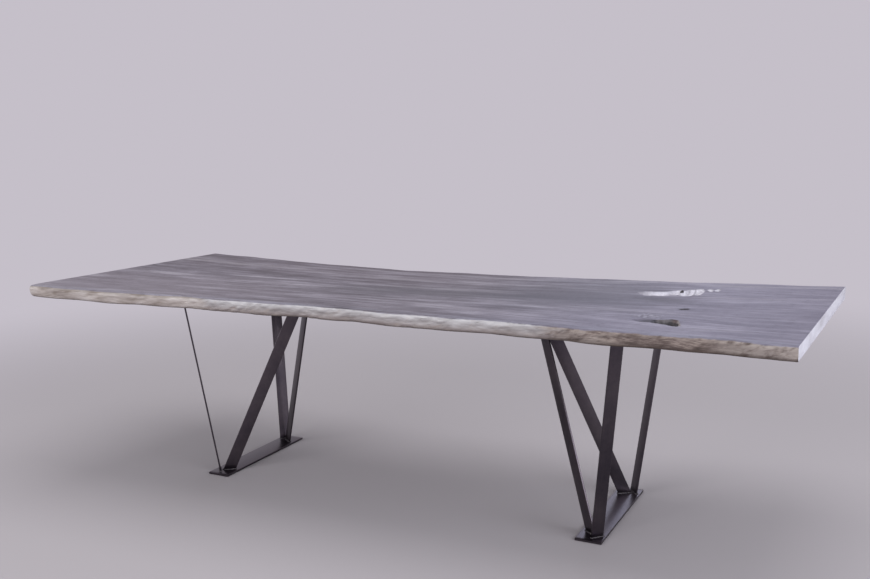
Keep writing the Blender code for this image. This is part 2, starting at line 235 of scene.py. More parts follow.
class Paint:
    """The nodes of one material, or of the world. All of them come from node()."""

    def __init__(self, owner):
        self.owner = owner
        owner.use_nodes = True
        self.tree = owner.node_tree
        self.tree.nodes.clear()

    def node(self, kind, settings=None, sockets=None, out=0):
        """Adds a node of this type, its settings first and then the values or links of its sockets."""
        made = self.tree.nodes.new(kind)
        for key, value in (settings or {}).items():
            if key == "stops":
                ramp = made.color_ramp
                while len(ramp.elements) < len(value):
                    ramp.elements.new(1.0)
                for stop, (place, colour) in zip(ramp.elements, value):
                    stop.position = place
                    stop.color = (*colour, 1.0)
            else:
                setattr(made, key, value)
        for key, value in (sockets or {}).items():
            if isinstance(value, Shade):
                self.tree.links.new(value.socket, made.inputs[key])
            else:
                made.inputs[key].default_value = value
        return Shade(self, made.outputs[out]) if made.outputs else made

    def maths(self, operation, *values):
        """A Math node on these values."""
        return self.node("ShaderNodeMath", {"operation": operation}, dict(enumerate(values)))

    def most(self, first, second):
        """The larger of two values."""
        return self.maths("MAXIMUM", first, second)

    def place(self):
        """Object coordinates as three values."""
        return self.split(self.node("ShaderNodeTexCoord", out="Object"))

    def facing(self):
        """The true normal as three values."""
        return self.split(self.node("ShaderNodeNewGeometry", out="True Normal"))

    def uv(self, name):
        """The two values of a UV map."""
        return self.split(self.node("ShaderNodeUVMap", {"uv_map": name}))[:2]

    def split(self, vector):
        """X, Y and Z of a vector."""
        outputs = self.node("ShaderNodeSeparateXYZ", sockets={0: vector}).socket.node.outputs
        return [Shade(self, output) for output in outputs]

    def vector(self, x, y, z=0.0):
        """A vector of three values."""
        return self.node("ShaderNodeCombineXYZ", sockets={0: x, 1: y, 2: z})

    def noise(self, place, detail=3.0, roughness=0.5):
        """Noise about a half, one lump to each unit of two or three values, with so many finer octaves."""
        sockets = {"Vector": self.vector(*place), "Scale": 1.0, "Detail": detail, "Roughness": roughness}
        return self.node("ShaderNodeTexNoise", sockets=sockets)

    def lumps(self, place, pitch, detail, roughness=0.5):
        """Noise of one pitch all ways, by the three values of a place."""
        return self.noise([value * pitch for value in place], detail, roughness)

    def cells(self, place, pitch):
        """Distance from the nearest of scattered points, so many to a metre each way."""
        sockets = {"Vector": self.vector(*[value * pitch for value in place]), "Scale": 1.0}
        return self.node("ShaderNodeTexVoronoi", sockets=sockets)

    def step(self, value, low, high):
        """0 below low, 1 above high, and a smooth rise between. A high under low turns it round."""
        sockets = {"Value": value, "From Min": low, "From Max": high}
        return self.node("ShaderNodeMapRange", {"interpolation_type": "SMOOTHSTEP"}, sockets)

    def mix(self, share, first, second):
        """A colour between first and second by share."""
        first, second = (c if isinstance(c, Shade) else (*c, 1.0) for c in (first, second))
        settings = {"data_type": "RGBA", "clamp_factor": True}
        return self.node("ShaderNodeMix", settings, {0: share, 6: first, 7: second}, out=2)

    def coats(self, colour, *coats):
        """A colour under one coat after another, each given as share and colour."""
        for share, coat in coats:
            colour = self.mix(share, colour, coat)
        return colour

    def ramp(self, value, *stops):
        """A colour by value, between stops that each give a place and a colour."""
        return self.node("ShaderNodeValToRGB", {"stops": stops}, {0: value})

    def bump(self, height, strength, distance):
        """A normal tilted by the slope of height."""
        sockets = {"Height": height, "Strength": strength, "Distance": distance}
        return self.node("ShaderNodeBump", sockets=sockets)

    def principled(self, **sockets):
        """A Principled shader, its sockets named with _ for each space."""
        named = {key.replace("_", " "): value for key, value in sockets.items()}
        return self.node("ShaderNodeBsdfPrincipled", sockets=named)

    def surface(self, **sockets):
        """Ends the material in a Principled shader and returns it."""
        self.node("ShaderNodeOutputMaterial", sockets={"Surface": self.principled(**sockets)})
        return self.owner


# A natural hollow: the round in which it is cut, its finish, its rim in plan in millimetres, its depth, the
# two powers of its section and the height of the ridges inside. Those of one round don't meet.
Hollow = namedtuple("Hollow", "turn finish rim depth steep power ridge")

# Noises that follow the slab's grain, and the tone that they add up to
Grain = namedtuple("Grain", "line bands flames streaks fibres growth tone")

# Noises of the stripped live edge, and the level below the top as a ragged share of the thickness
Bark = namedtuple("Bark", "strand fleck fold scar blotch level")

# Colour, roughness and bump height of one part of a surface
Skin = namedtuple("Skin", "colour roughness height")


def smooth_field(a, b, seed, count=26):
    """A smooth random field over (a, b): the scaled sum of cosines of random direction, pitch and phase."""
    rng = np.random.default_rng(seed)
    turn = rng.uniform(0.0, 2.0 * math.pi, count)
    pitch = rng.uniform(0.5, 1.6, count) * 2.0 * math.pi
    phase = rng.uniform(0.0, 2.0 * math.pi, count)
    total = 0.0
    for t, p, q in zip(turn, pitch, phase):
        total = total + np.cos(p * (a * math.cos(t) + b * math.sin(t)) + q)
    return total * math.sqrt(2.0 / count)


def metres(millimetres):
    """An array in metres."""
    return np.array(millimetres) / 1000.0


def rise(value, low, high):
    """0 below low, 1 above high, with the cubic 3t2 - 2t3 between."""
    t = np.clip((value - low) / (high - low), 0.0, 1.0)
    return t * t * (3.0 - 2.0 * t)


def wave(x, height, run, phase):
    """A sine of this height along X that repeats after each run."""
    return height * np.sin(2.0 * math.pi * x / run + phase)


def even_line(corners, count):
    """The closed line through plan corners at even steps: length at each point, whole length, points."""
    closed = np.concatenate([corners, corners[:1]])
    run = np.concatenate([[0.0], np.cumsum(np.linalg.norm(np.diff(closed, axis=0), axis=1))])
    s = np.linspace(0.0, run[-1], count, endpoint=False)
    return s, run[-1], np.stack([np.interp(s, run, closed[:, 0]), np.interp(s, run, closed[:, 1])], -1)


def grid_faces(rows, columns, around=False):
    """Corner numbers of the quads of a grid of points, rows by columns; around closes each row on itself."""
    count = columns if around else columns - 1
    r, c = np.meshgrid(np.arange(rows - 1), np.arange(count), indexing="ij")
    d = (c + 1) % columns
    quads = np.stack([r * columns + c, (r + 1) * columns + c, (r + 1) * columns + d, r * columns + d], -1)
    return quads.reshape(-1, 4)


def add_object(name, data):
    """An object of this data in the scene."""
    made = bpy.data.objects.new(name, data)
    bpy.context.scene.collection.objects.link(made)
    return made


def make_piece(name, points, faces, uv=None, uv_name="grain", paint=(), sharp=SHARP):
    """A mesh object from an array of points, a list of corner lists and, in order, each corner's UV."""
    mesh = bpy.data.meshes.new(name)
    mesh.from_pydata(points.tolist(), [], faces)
    if uv is not None:
        layer = mesh.uv_layers.new(name=uv_name)
        layer.data.foreach_set("uv", uv.astype(np.float32).ravel())
    mesh.shade_smooth()
    mesh.set_sharp_from_angle(angle=math.radians(sharp))
    for finish in paint:
        mesh.materials.append(finish)
    return add_object(name, mesh)


def power_curve(away, height, run, power):
    """0 at the start, and this height after one run, by a power of the way."""
    return height * (np.clip(away, 0.0, None) / run) ** power


def front_line(x):
    """Y of the front edge without its waves: straight, then flaring out to the left."""
    return -FRONT_REACH - power_curve(FLARE_START_X - x, *FRONT_FLARE)


def rear_line(x):
    """Y of the rear edge without its waves: a waist from which two curves rise to the ends."""
    return WAIST_REACH + power_curve(WAIST_X - x, *WAIST_LEFT) + power_curve(x - WAIST_X, *WAIST_RIGHT)


def bark_relief(x, depth, seed):
    """How far the stripped live edge lies inside its mean line: slow lumps, ridges that run with the
    grain and slanting folds in the middle of the length, each a smooth field of length and depth."""
    lumps = BARK_LUMP * smooth_field(x / 0.15, depth / 0.06, seed)
    ridges = BARK_RIDGE * smooth_field(x / 0.055 + depth / 0.06, depth / 0.0085, seed + 1)
    middle = rise(x, -0.95, -0.45) * rise(-x, -0.62, -0.4)
    folds = middle * smooth_field(x / 0.05 + depth / 0.028, depth / 0.05 - x / 0.2, seed + 2)
    share = 0.45 + 0.55 * rise(depth, 0.001, 0.009)
    return np.clip(BARK_INSET + share * (lumps + ridges + BARK_FOLD * folds), 0.0, None)


def slab_points(along, across, depth):
    """The slab as a function of two shares and a depth. Along runs between the two skewed sawn ends, across
    between the two live edges at that X, and each depth below the top has its own insets."""
    live = np.interp(depth, EDGE_DEPTHS, LIVE_INSETS)
    sawn = np.interp(depth, EDGE_DEPTHS, SAWN_INSETS)
    phase = np.interp(depth, EDGE_DEPTHS, WAVE_PHASES)
    worn_end = WORN_CORNER * np.clip(1.0 - across / WORN_END_SHARE, 0.0, None) ** 2
    worn_front = WORN_FRONT_RATIO * WORN_CORNER * np.clip(1.0 - along / WORN_FRONT_SHARE, 0.0, None) ** 2
    left = LEFT_END_X + LEFT_END_SKEW * across + sawn + worn_end
    right = RIGHT_END_X + RIGHT_END_SKEW * across - sawn
    x = left + (right - left) * along
    front = front_line(x) + sum(wave(x, *one) for one in FRONT_WAVES) + worn_front
    front = front + live + wave(x, LIVE_WAVE, LIVE_RUN_FRONT, phase) + bark_relief(x, depth, FRONT_BARK_SEED)
    rear = rear_line(x) + sum(wave(x, *one) for one in REAR_WAVES) - live
    rear = rear - wave(x, LIVE_WAVE, LIVE_RUN_REAR, phase + LIVE_LAG_REAR)
    rear = rear - bark_relief(x, depth, REAR_BARK_SEED)
    y = front + (rear - front) * across
    points = np.stack([x - SLAB_MIDDLE[0], y - SLAB_MIDDLE[1], TOP_HEIGHT - depth], -1)
    return np.clip(points, *CAD_BOX)


def grain_map(points, depth):
    """Length, and the way round the section: share of the width between the edges, less or plus depth."""
    x, y = points[..., 0] + SLAB_MIDDLE[0], points[..., 1] + SLAB_MIDDLE[1]
    share = (y - front_line(x)) / (rear_line(x) - front_line(x))
    return np.stack([points[..., 0], share * MEAN_WIDTH + np.where(share < 0.5, -depth, depth)], -1)


def slab_mesh():
    """Six faces of the slab on grids that share their border points: top, bottom, two live edges, two ends.

    The UV map, grain, is the length in metres by the way round the section, so streaks follow the edges."""
    even = np.linspace(0.0, 1.0, GRID_ACROSS)[None, :]
    wide = 0.55 * even + 0.45 * (0.5 - 0.5 * np.cos(math.pi * even))
    long = np.linspace(0.0, 1.0, GRID_ALONG)[:, None]
    deep = metres(GRID_DEPTHS)[None, :]
    patches = (
        (long, wide, 0.0, False),
        (long, wide, SLAB_THICK, True),
        (long, 0.0, deep, True),
        (long, 1.0, deep, False),
        (0.0, wide.T, deep, False),
        (1.0, wide.T, deep, True),
    )
    points, faces, uv = [], [], []
    start = 0
    for *shares, turned in patches:
        a, b, d = np.broadcast_arrays(*shares)
        quads = grid_faces(*a.shape)
        if turned:
            quads = quads[:, ::-1]
        points.append(slab_points(a, b, d).reshape(-1, 3))
        faces.append(quads + start)
        uv.append(grain_map(slab_points(a, b, 0.0 * d), d).reshape(-1, 2)[quads])
        start += a.size
    points, faces = np.concatenate(points), np.concatenate(faces)
    _, first, number = np.unique(np.round(points, 6), axis=0, return_index=True, return_inverse=True)
    return points[first], number.reshape(-1)[faces].tolist(), np.concatenate(uv)


def lens(x, y, half_length, half_width, turn):
    """Plan corners of an ellipse about (x, y), turned by so many degrees."""
    t = np.radians(np.arange(0, 360, 20))
    a, b, k = half_length * np.cos(t), half_width * np.sin(t), math.radians(turn)
    return np.stack([x + a * math.cos(k) - b * math.sin(k), y + a * math.sin(k) + b * math.cos(k)], -1)


def small_check(turn, rim, depth):
    """A short dark crack or nick: a plain bowl with next to no ridges."""
    return Hollow(turn, KNOT_FINISH, rim, depth, 2.0, 0.7, 0.0002)


def natural_hollows():
    """The pale hollow's four lobes with a dark pit, the knot with its run-out, and four small checks."""
    return (
        Hollow(0, PALE_FINISH, LEFT_LOBE, 0.014, 3.0, 0.8, 0.0009),
        Hollow(1, PALE_FINISH, MIDDLE_LOBE, 0.012, 2.6, 0.8, 0.0014),
        Hollow(0, PALE_FINISH, RIGHT_LOBE, 0.0055, 2.0, 0.9, 0.0006),
        Hollow(1, PALE_FINISH, SMALL_LOBE, 0.006, 2.0, 0.9, 0.0006),
        small_check(2, lens(901.5, 239, 8, 16, 10), 0.011),
        Hollow(0, KNOT_FINISH, KNOT_RIM, 0.026, 5.0, 0.5, 0.001),
        Hollow(1, TOP_FINISH, lens(915, -318, 48, 28, -8), 0.006, 2.0, 1.5, 0.0003),
        small_check(0, CHECK_RIM, 0.011),
        small_check(0, lens(1175.5, -513, 8.5, 5, 12), 0.006),
        small_check(0, lens(1253, -511, 13.5, 3.6, -6), 0.005),
        small_check(1, lens(-1354, 85, 23, 3.4, 6), 0.008),
    )


def hollow_mesh(hollow, seed):
    """A closed bowl for cutting, as points, quads and triangles: rings from a middle out to the rim, a
    closed line that is smoothed and wanders a little.

    With r from the middle to the rim, the depth goes as (1 - r ** steep) ** power, with ridges along the
    grain. A lid stands over the slab's top on the rim's own line."""
    s, length, line = even_line(metres(hollow.rim), RIM_POINTS)
    for _ in range(RIM_PASSES):
        line = (np.roll(line, 1, 0) + 2.0 * line + np.roll(line, -1, 0)) / 4.0
    middle = line.mean(0)
    around = 2.0 * math.pi * s / length
    wander = 0.018 * smooth_field(3.0 * np.cos(around), 3.0 * np.sin(around), seed)
    wander += 0.005 * smooth_field(9.0 * np.cos(around), 9.0 * np.sin(around), seed + 1)
    r = np.sin(np.linspace(0.0, math.pi / 2, BOWL_RINGS))[1:, None]
    reach = r * (1.0 + wander * r**2)
    x = middle[0] + reach * (line[:, 0] - middle[0])
    y = middle[1] + reach * (line[:, 1] - middle[1])
    ridges = smooth_field(x / 0.06, y / 0.011, seed + 2) + 0.5 * smooth_field(x / 0.02, y / 0.005, seed + 3)
    fall = np.clip(1.0 - r**hollow.steep, 0.0, None) ** hollow.power
    z = TOP_HEIGHT - hollow.depth * fall - hollow.ridge * ridges * np.minimum(1.0, 3.0 * fall)
    z = np.where(r >= 1.0, TOP_HEIGHT, np.minimum(z, TOP_HEIGHT - RIM_STEP))
    bowl = np.stack([x, y, z], -1)
    lid = np.stack([x[-1:], y[-1:], np.full_like(x[-1:], LID_HEIGHT)], -1)
    rings = np.concatenate([bowl, lid])
    rows, columns = rings.shape[:2]
    poles = [[*middle, z[0].mean()], [*middle, LID_HEIGHT]]
    points = np.concatenate([rings.reshape(-1, 3), poles])
    one = np.arange(columns)
    two = (one + 1) % columns
    last = (rows - 1) * columns
    pole = np.full(columns, rows * columns)
    quads = grid_faces(rows, columns, around=True)[:, ::-1]
    floor = np.stack([pole, two, one], -1)
    roof = np.stack([last + one, last + two, pole + 1], -1)
    return points, quads, np.concatenate([floor, roof])


def cutter_piece(name, seeded_hollows, paint):
    """One mesh of the bowls of a round, each with the number of its finish on its faces."""
    points, faces, uv, finishes = [], [], [], []
    start = 0
    for seed, hollow in seeded_hollows:
        bowl, quads, triangles = hollow_mesh(hollow, seed)
        grain = grain_map(bowl, 0.0)
        points.append(bowl)
        faces += (quads + start).tolist() + (triangles + start).tolist()
        uv += [grain[quads.ravel()], grain[triangles.ravel()]]
        finishes += [hollow.finish] * (len(quads) + len(triangles))
        start += len(bowl)
    cutter = make_piece(name, np.concatenate(points), faces, np.concatenate(uv), paint=paint)
    cutter.data.polygons.foreach_set("material_index", np.array(finishes, np.int32))
    return cutter


def cut_hollows(slab, hollows):
    """Cuts the hollows from the slab, round by round, and gives each wall its own finish."""
    seeded = [(HOLLOW_SEED + 10 * number, hollow) for number, hollow in enumerate(hollows)]
    cutters = []
    for turn in sorted({hollow.turn for hollow in hollows}):
        chosen = [pair for pair in seeded if pair[1].turn == turn]
        cutter = cutter_piece(f"hollow_cutter_{turn}", chosen, slab.data.materials)
        boolean = slab.modifiers.new(cutter.name, "BOOLEAN")
        boolean.operation = "DIFFERENCE"
        boolean.solver = "EXACT"
        boolean.object = cutter
        cutters.append(cutter)
    bpy.context.view_layer.update()
    whole = slab.evaluated_get(bpy.context.evaluated_depsgraph_get())
    mesh = bpy.data.meshes.new_from_object(whole)
    slab.modifiers.clear()
    slab.data = mesh
    mesh.set_sharp_from_angle(angle=math.radians(SHARP))
    for cutter in cutters:
        bpy.data.objects.remove(cutter, do_unlink=True)


def oval(x, y, middle_x, middle_y, along, across):
    """Square of the distance from a middle, counted in half lengths and half widths of an oval."""
    dx, dy = (x - middle_x) / along, (y - middle_y) / across
    return dx * dx + dy * dy


def wood_grain(p, x, y, u, v):
    """Noises stretched along the grain, whose lines drift and part round the knots."""
    drift = p.noise((u * 0.9, v * 2.0), 1.0, 0.35) - 0.5
    line = v + drift * 0.06
    for knot_x, knot_y, reach, push in KNOT_EYES:
        near = p.maths("EXPONENT", oval(x, y, knot_x, knot_y, reach * 1.6, reach) * -1.0)
        line = line - near * (y - knot_y) * push
    bands = p.noise((u * 0.45, line * 9.0), 3.0, 0.55)
    flames = p.noise((u * 3.2, line * 30.0), 4.0, 0.58)
    streaks = p.noise((u * 1.1, line * 62.0), 5.0, 0.6)
    fibres = p.noise((u * 6.0, line * 260.0), 6.0, 0.72)
    clouds = p.noise((u * 6.0, line * 16.0), 3.0, 0.55)
    growth = p.maths("FRACT", line * 70.0 + bands * 6.0 + clouds * 0.5) ** 2.0
    tone = bands * 0.46 + flames * 0.5 + streaks * 0.36 + fibres * 0.2 + clouds * 0.32
    tone = tone - growth * 0.13 - 0.03
    return Grain(line, bands, flames, streaks, fibres, growth, tone)


def sanded_top(p, grain, x, y, u, v):
    """Grey-mauve top: long streaks, a dark heart, a right end tinted bluer (painted bluish light), a painted
    highlight along the front rim, stains and painted shade, a burl with painted light and dark specks, pores.
    """
    line, flames, streaks = grain.line, grain.flames, grain.streaks
    colour = p.ramp(
        grain.tone,
        (0.64, (0.046, 0.038, 0.048)),
        (0.78, (0.106, 0.092, 0.114)),
        (0.89, (0.18, 0.162, 0.197)),
        (1.0, (0.31, 0.29, 0.34)),
    )
    from_heart = abs(line - u * 0.1025 - 0.424)
    within = p.step(u, -0.5, 0.05) * p.step(u, 1.05, 0.65)
    heart = p.step(from_heart, 0.19, 0.03) * within
    core = p.step(from_heart, 0.06, 0.01) * within * p.step(streaks, 0.3, 0.55)
    rear = p.step(v, 0.42, 0.8) * p.step(u, 0.75, 0.0)
    front_left = p.step(u, 0.0, -0.9) * p.step(v, 0.6, 0.25)
    warm = p.step(grain.bands, 0.52, 0.66) * p.step(flames, 0.45, 0.6)
    # painted highlight: a pale bluish band along the front rim of the top
    front_highlight = p.step(v, 0.055, 0.012) * p.step(flames, 0.35, 0.6)
    colour = p.coats(
        colour,
        (heart * 0.54, (0.078, 0.071, 0.089)),
        (core * 0.6, (0.055, 0.05, 0.063)),
        (rear * 0.3, (0.1, 0.076, 0.09)),
        # painted bluish light: the right end tinted bluer
        (p.step(u, 0.1, 1.0) * 0.4, (0.19, 0.18, 0.268)),
        (front_left * 0.42, (0.225, 0.196, 0.228)),
        (warm * 0.25, (0.205, 0.18, 0.17)),
        # painted highlight along the front rim
        (front_highlight * 0.4, (0.24, 0.24, 0.3)),
    )
    # dark patches: stains, and painted shade over the knot's shallow run-out
    for patch_x, patch_y, along, across, strength in DARK_PATCHES:
        away = oval(x, y, patch_x, patch_y, along, across) ** 0.5 + (flames - 0.5) * 1.2
        colour = p.mix(p.step(away, 1.0, 0.2) * strength, colour, (0.036, 0.033, 0.043))
    burl = p.step(oval(x, y, *BURL) ** 0.5, 1.0, 0.35)
    specks = p.noise((x * 90.0, y * 80.0), 1.0)
    pores = p.step(p.noise((u * 30.0, line * 700.0), 2.0), 0.6, 0.68)
    colour = p.coats(
        colour,
        # painted highlight and shade: light and dark specks for the burl's small bumps
        (burl * p.step(specks, 0.5, 0.42) * 0.55, (0.33, 0.32, 0.38)),
        (burl * p.step(specks, 0.55, 0.63) * 0.65, (0.06, 0.053, 0.066)),
        (pores * 0.5, (0.042, 0.035, 0.043)),
    )
    roughness = 0.48 + streaks * 0.14 + pores * 0.1
    height = streaks * 0.3 + grain.fibres * 0.3 - grain.growth * 0.15 - pores * 0.4
    return Skin(colour, roughness, height)


def silver_stretch(p, bark):
    """Middle of the live edge: silvery wood in soft folds, with a painted highlight under the arris, painted
    shade browner below and painted shade dark in the creases.
    """
    colour = p.ramp(
        bark.strand * 0.38 + bark.fold * 0.46 + bark.blotch * 0.28,
        (0.4, (0.2, 0.174, 0.168)),
        (0.54, (0.385, 0.358, 0.365)),
        (0.68, (0.59, 0.572, 0.588)),
    )
    crease_shade = p.step(bark.fold * 0.7 + bark.scar * 0.3, 0.43, 0.32)
    return p.coats(
        colour,
        # painted highlight: whitest band under the arris
        (p.step(bark.level, 0.44, 0.08) * 0.6, (0.66, 0.65, 0.68)),
        # painted shade: browner toward the bottom
        (p.step(bark.level, 0.42, 0.82) * 0.42, (0.34, 0.268, 0.25)),
        (p.step(bark.scar, 0.54, 0.68) * 0.4, (0.38, 0.305, 0.27)),
        # painted shade: dark in the creases of the folds
        (crease_shade * 0.65, (0.12, 0.096, 0.09)),
    )


def beige_stretch(p, bark):
    """Left of the live edge: beige wood in broad soft blotches, browner under the arris."""
    colour = p.ramp(
        bark.strand * 0.36 + bark.fleck * 0.16 + bark.blotch * 0.62,
        (0.4, (0.225, 0.182, 0.16)),
        (0.56, (0.46, 0.406, 0.388)),
        (0.72, (0.66, 0.612, 0.602)),
    )
    return p.mix(p.step(bark.level, 0.26, 0.1) * 0.5, colour, (0.19, 0.16, 0.135))


def brown_stretch(p, bark, x):
    """Right of the live edge: brown fibrous wood with dark scars, tan where it starts and toward the end, and
    painted shade darkening its lower half.
    """
    level, scar = bark.level, bark.scar
    colour = p.ramp(
        bark.strand * 0.42 + bark.fleck * 0.38 + scar * 0.24 + bark.blotch * 0.16,
        (0.46, (0.052, 0.038, 0.034)),
        (0.59, (0.172, 0.132, 0.121)),
        (0.71, (0.4, 0.33, 0.297)),
    )
    tan_start = p.step(level, 0.02, 0.3) * p.step(x, 0.94, 0.78) * p.step(scar, 0.38, 0.56)
    tan_end = p.step(x, 1.12, 1.24) * p.step(level, 1.1, 0.7) * p.step(scar, 0.34, 0.54) * 1.4
    return p.coats(
        colour,
        (p.step(level, 0.5, 0.1) * p.step(scar, 0.35, 0.6) * 0.5, (0.33, 0.275, 0.25)),
        # painted shade: darker toward the bottom
        (p.step(level, 0.5, 0.85) * 0.5, (0.085, 0.064, 0.057)),
        (p.most(tan_start, tan_end) * 0.5, (0.45, 0.395, 0.37)),
    )


def stripped_edge(p, grain, x, z, u, v):
    """Live edge under its bark, in three stretches, with painted shade darker toward its foot and a painted
    shadow line along the bottom. Returns its skin, and the share of the surface that the sanded top takes,
    down to a shoulder that is ragged at the right."""
    depth = TOP_HEIGHT - z
    strand = p.noise((u * 13.0, v * 100.0), 6.0, 0.68)
    fleck = p.noise((u * 34.0 + v * 30.0, v * 210.0), 4.0, 0.6)
    fold = p.noise((u * 16.0 + depth * 42.0, depth * 55.0 - u * 4.0), 4.0, 0.55)
    scar = p.noise((u * 24.0 + depth * 30.0, depth * 26.0 - u * 2.0), 5.0, 0.62)
    blotch = p.noise((u * 9.0 + depth * 16.0, depth * 24.0, 3.0), 2.0, 0.5)
    ragged = fold - 0.5
    level = depth / SLAB_THICK + ragged * 0.35
    bark = Bark(strand, fleck, fold, scar, blotch, level)
    inside = p.step(v, 0.02, 0.03) * p.step(v, 0.93, 0.92)
    shoulder = z + (grain.streaks - 0.5) * 0.004 + (scar - 0.5) * (0.002 + p.step(x, 0.4, 0.75) * 0.008)
    sanded = p.most(p.step(shoulder, 0.7552, 0.7588), inside)
    dashes = p.step(p.noise((u * 22.0, v * 60.0, 7.0), 4.0, 0.65), 0.52, 0.62)
    dashes = dashes * p.step(x, 0.3, 0.7) * p.step(shoulder, 0.7535, 0.757)
    # painted shade: the edge darker toward its foot
    foot = p.step(level, 0.7, 1.0) * (0.65 - p.step(x, -0.45, -0.75) * 0.35)
    flecks = p.step(fleck, 0.58, 0.74) * (0.22 + p.step(x, 0.55, 0.7) * 0.28)
    colour = p.coats(
        silver_stretch(p, bark),
        (p.step(x + ragged * 0.1, -0.56, -0.61), beige_stretch(p, bark)),
        (p.step(x + ragged * 0.2, 0.61, 0.74), brown_stretch(p, bark, x)),
        # painted shade toward the foot
        (foot, (0.095, 0.07, 0.058)),
        # painted shadow: a dark line along the bottom arris
        (p.step(depth / SLAB_THICK, 0.9, 0.98) * 0.75, (0.05, 0.036, 0.031)),
        (flecks, (0.07, 0.053, 0.046)),
        (dashes * 0.7, (0.055, 0.05, 0.068)),
    )
    return Skin(colour, 0.62 + fleck * 0.22, strand * 1.2 + fold * 1.0 + fleck * 0.7), sanded


def sawn_end(p, y, z):
    """Pale end grain: growth rings about a heart under the slab, fine rays, soft patches and splits."""
    ring_y = y + 0.05 + (p.noise((0.0, y * 3.0, z * 3.0)) - 0.5) * 0.03
    ring_z = z - 0.3
    radius = (ring_y * ring_y + ring_z * ring_z) ** 0.5
    rings = p.maths("FRACT", radius * 190.0 + p.noise((y * 14.0, z * 14.0), 2.0) * 2.0) ** 2.0
    rays = p.noise((y * 240.0, z * 22.0), 4.0, 0.62)
    patch = p.noise((y * 9.0, z * 26.0), 3.0, 0.55)
    split = p.step(p.noise((y * 170.0 + z * 20.0, z * 9.0, 4.0), 2.0), 0.66, 0.74)
    colour = p.ramp(
        rays * 0.45 + patch * 0.6 - rings * 0.12,
        (0.3, (0.43, 0.41, 0.45)),
        (0.48, (0.59, 0.578, 0.65)),
        (0.66, (0.69, 0.682, 0.752)),
    )
    return p.mix(split * 0.55, colour, (0.21, 0.185, 0.19)), rays * 0.7 - rings * 0.3 - split


def slab_wood():
    """The slab's finish: sanded top, stripped live edges, sawn ends and a plain brown underside."""
    p = Paint(bpy.data.materials.new("slab_wood"))
    x, y, z = p.place()
    u, v = p.uv("grain")
    nx, _, nz = p.facing()
    grain = wood_grain(p, x, y, u, v)
    top = sanded_top(p, grain, x, y, u, v)
    edge, sanded = stripped_edge(p, grain, x, z, u, v)
    end_colour, end_height = sawn_end(p, y, z)
    under_colour = p.ramp(
        grain.tone,
        (0.62, (0.105, 0.085, 0.078)),
        (0.84, (0.19, 0.16, 0.148)),
        (1.0, (0.285, 0.25, 0.23)),
    )
    under = p.step(nz, -0.75, -0.92)
    end = p.step(abs(nx), 0.62, 0.8)
    height = top.height * sanded + edge.height * (1.0 - sanded)
    height = height * (1.0 - end) + end_height * end
    return p.surface(
        Base_Color=p.coats(edge.colour, (sanded, top.colour), (under, under_colour), (end, end_colour)),
        Roughness=top.roughness * sanded + edge.roughness * (1.0 - sanded),
        Normal=p.bump(height, 0.55, 0.0014),
        Specular_IOR_Level=0.28,
    )


def pale_hollow_wood():
    """The light hollow: silvery raw wood torn into splinters across the grain, greyer toward the right, with
    painted shade grey on the walls that face +Y and darker grey deep down.
    """
    p = Paint(bpy.data.materials.new("pale_hollow_wood"))
    x, y, z = p.place()
    _, ny, _ = p.facing()
    across = x * 0.99 + y * 0.1
    splinter = p.noise((across * 64.0, y * 6.0), 3.0, 0.55)
    fine = p.noise((across * 230.0, y * 40.0, z * 160.0), 3.0, 0.6)
    calm = p.step(x, 0.915, 0.895)
    torn = splinter * (1.0 - calm * 0.55) + calm * 0.245
    colour = p.ramp(
        torn * 0.85 + fine * 0.18,
        (0.3, (0.23, 0.215, 0.256)),
        (0.41, (0.42, 0.403, 0.462)),
        (0.53, (0.56, 0.544, 0.616)),
    )
    cleft = p.step(abs(x + (y - 0.22) * 0.12 - 0.947 + (fine - 0.5) * 0.008), 0.0045, 0.001)
    worn = p.step(z + (fine - 0.5) * 0.004, 0.756, 0.76) * 0.6
    # painted shade: walls that face +Y go grey
    near_wall_shade = p.step(ny + (fine - 0.5) * 0.2, 0.0, 0.24) * 0.72
    tip = p.step(x + (fine - 0.5) * 0.03, 0.825, 0.775) * 0.7
    grain = p.noise((x * 9.0, y * 320.0, z * 60.0), 4.0, 0.62)
    # painted shade: darker grey deep down in the hollow
    low = p.step(z + (grain - 0.5) * 0.006, 0.7495, 0.7465)
    grey = (0.165, 0.152, 0.185)
    colour = p.coats(
        colour,
        (cleft * 0.55, grey),
        (p.most(p.most(worn, near_wall_shade), tip), grey),
        # painted shade deep down, together with grey grain streaks
        (p.most(low * 0.45, p.step(grain, 0.55, 0.66) * 0.3), (0.185, 0.168, 0.19)),
    )
    return p.surface(
        Base_Color=colour,
        Roughness=0.48 + fine * 0.25,
        Normal=p.bump(splinter * 1.2 + fine * 0.4, 0.6, 0.002),
    )


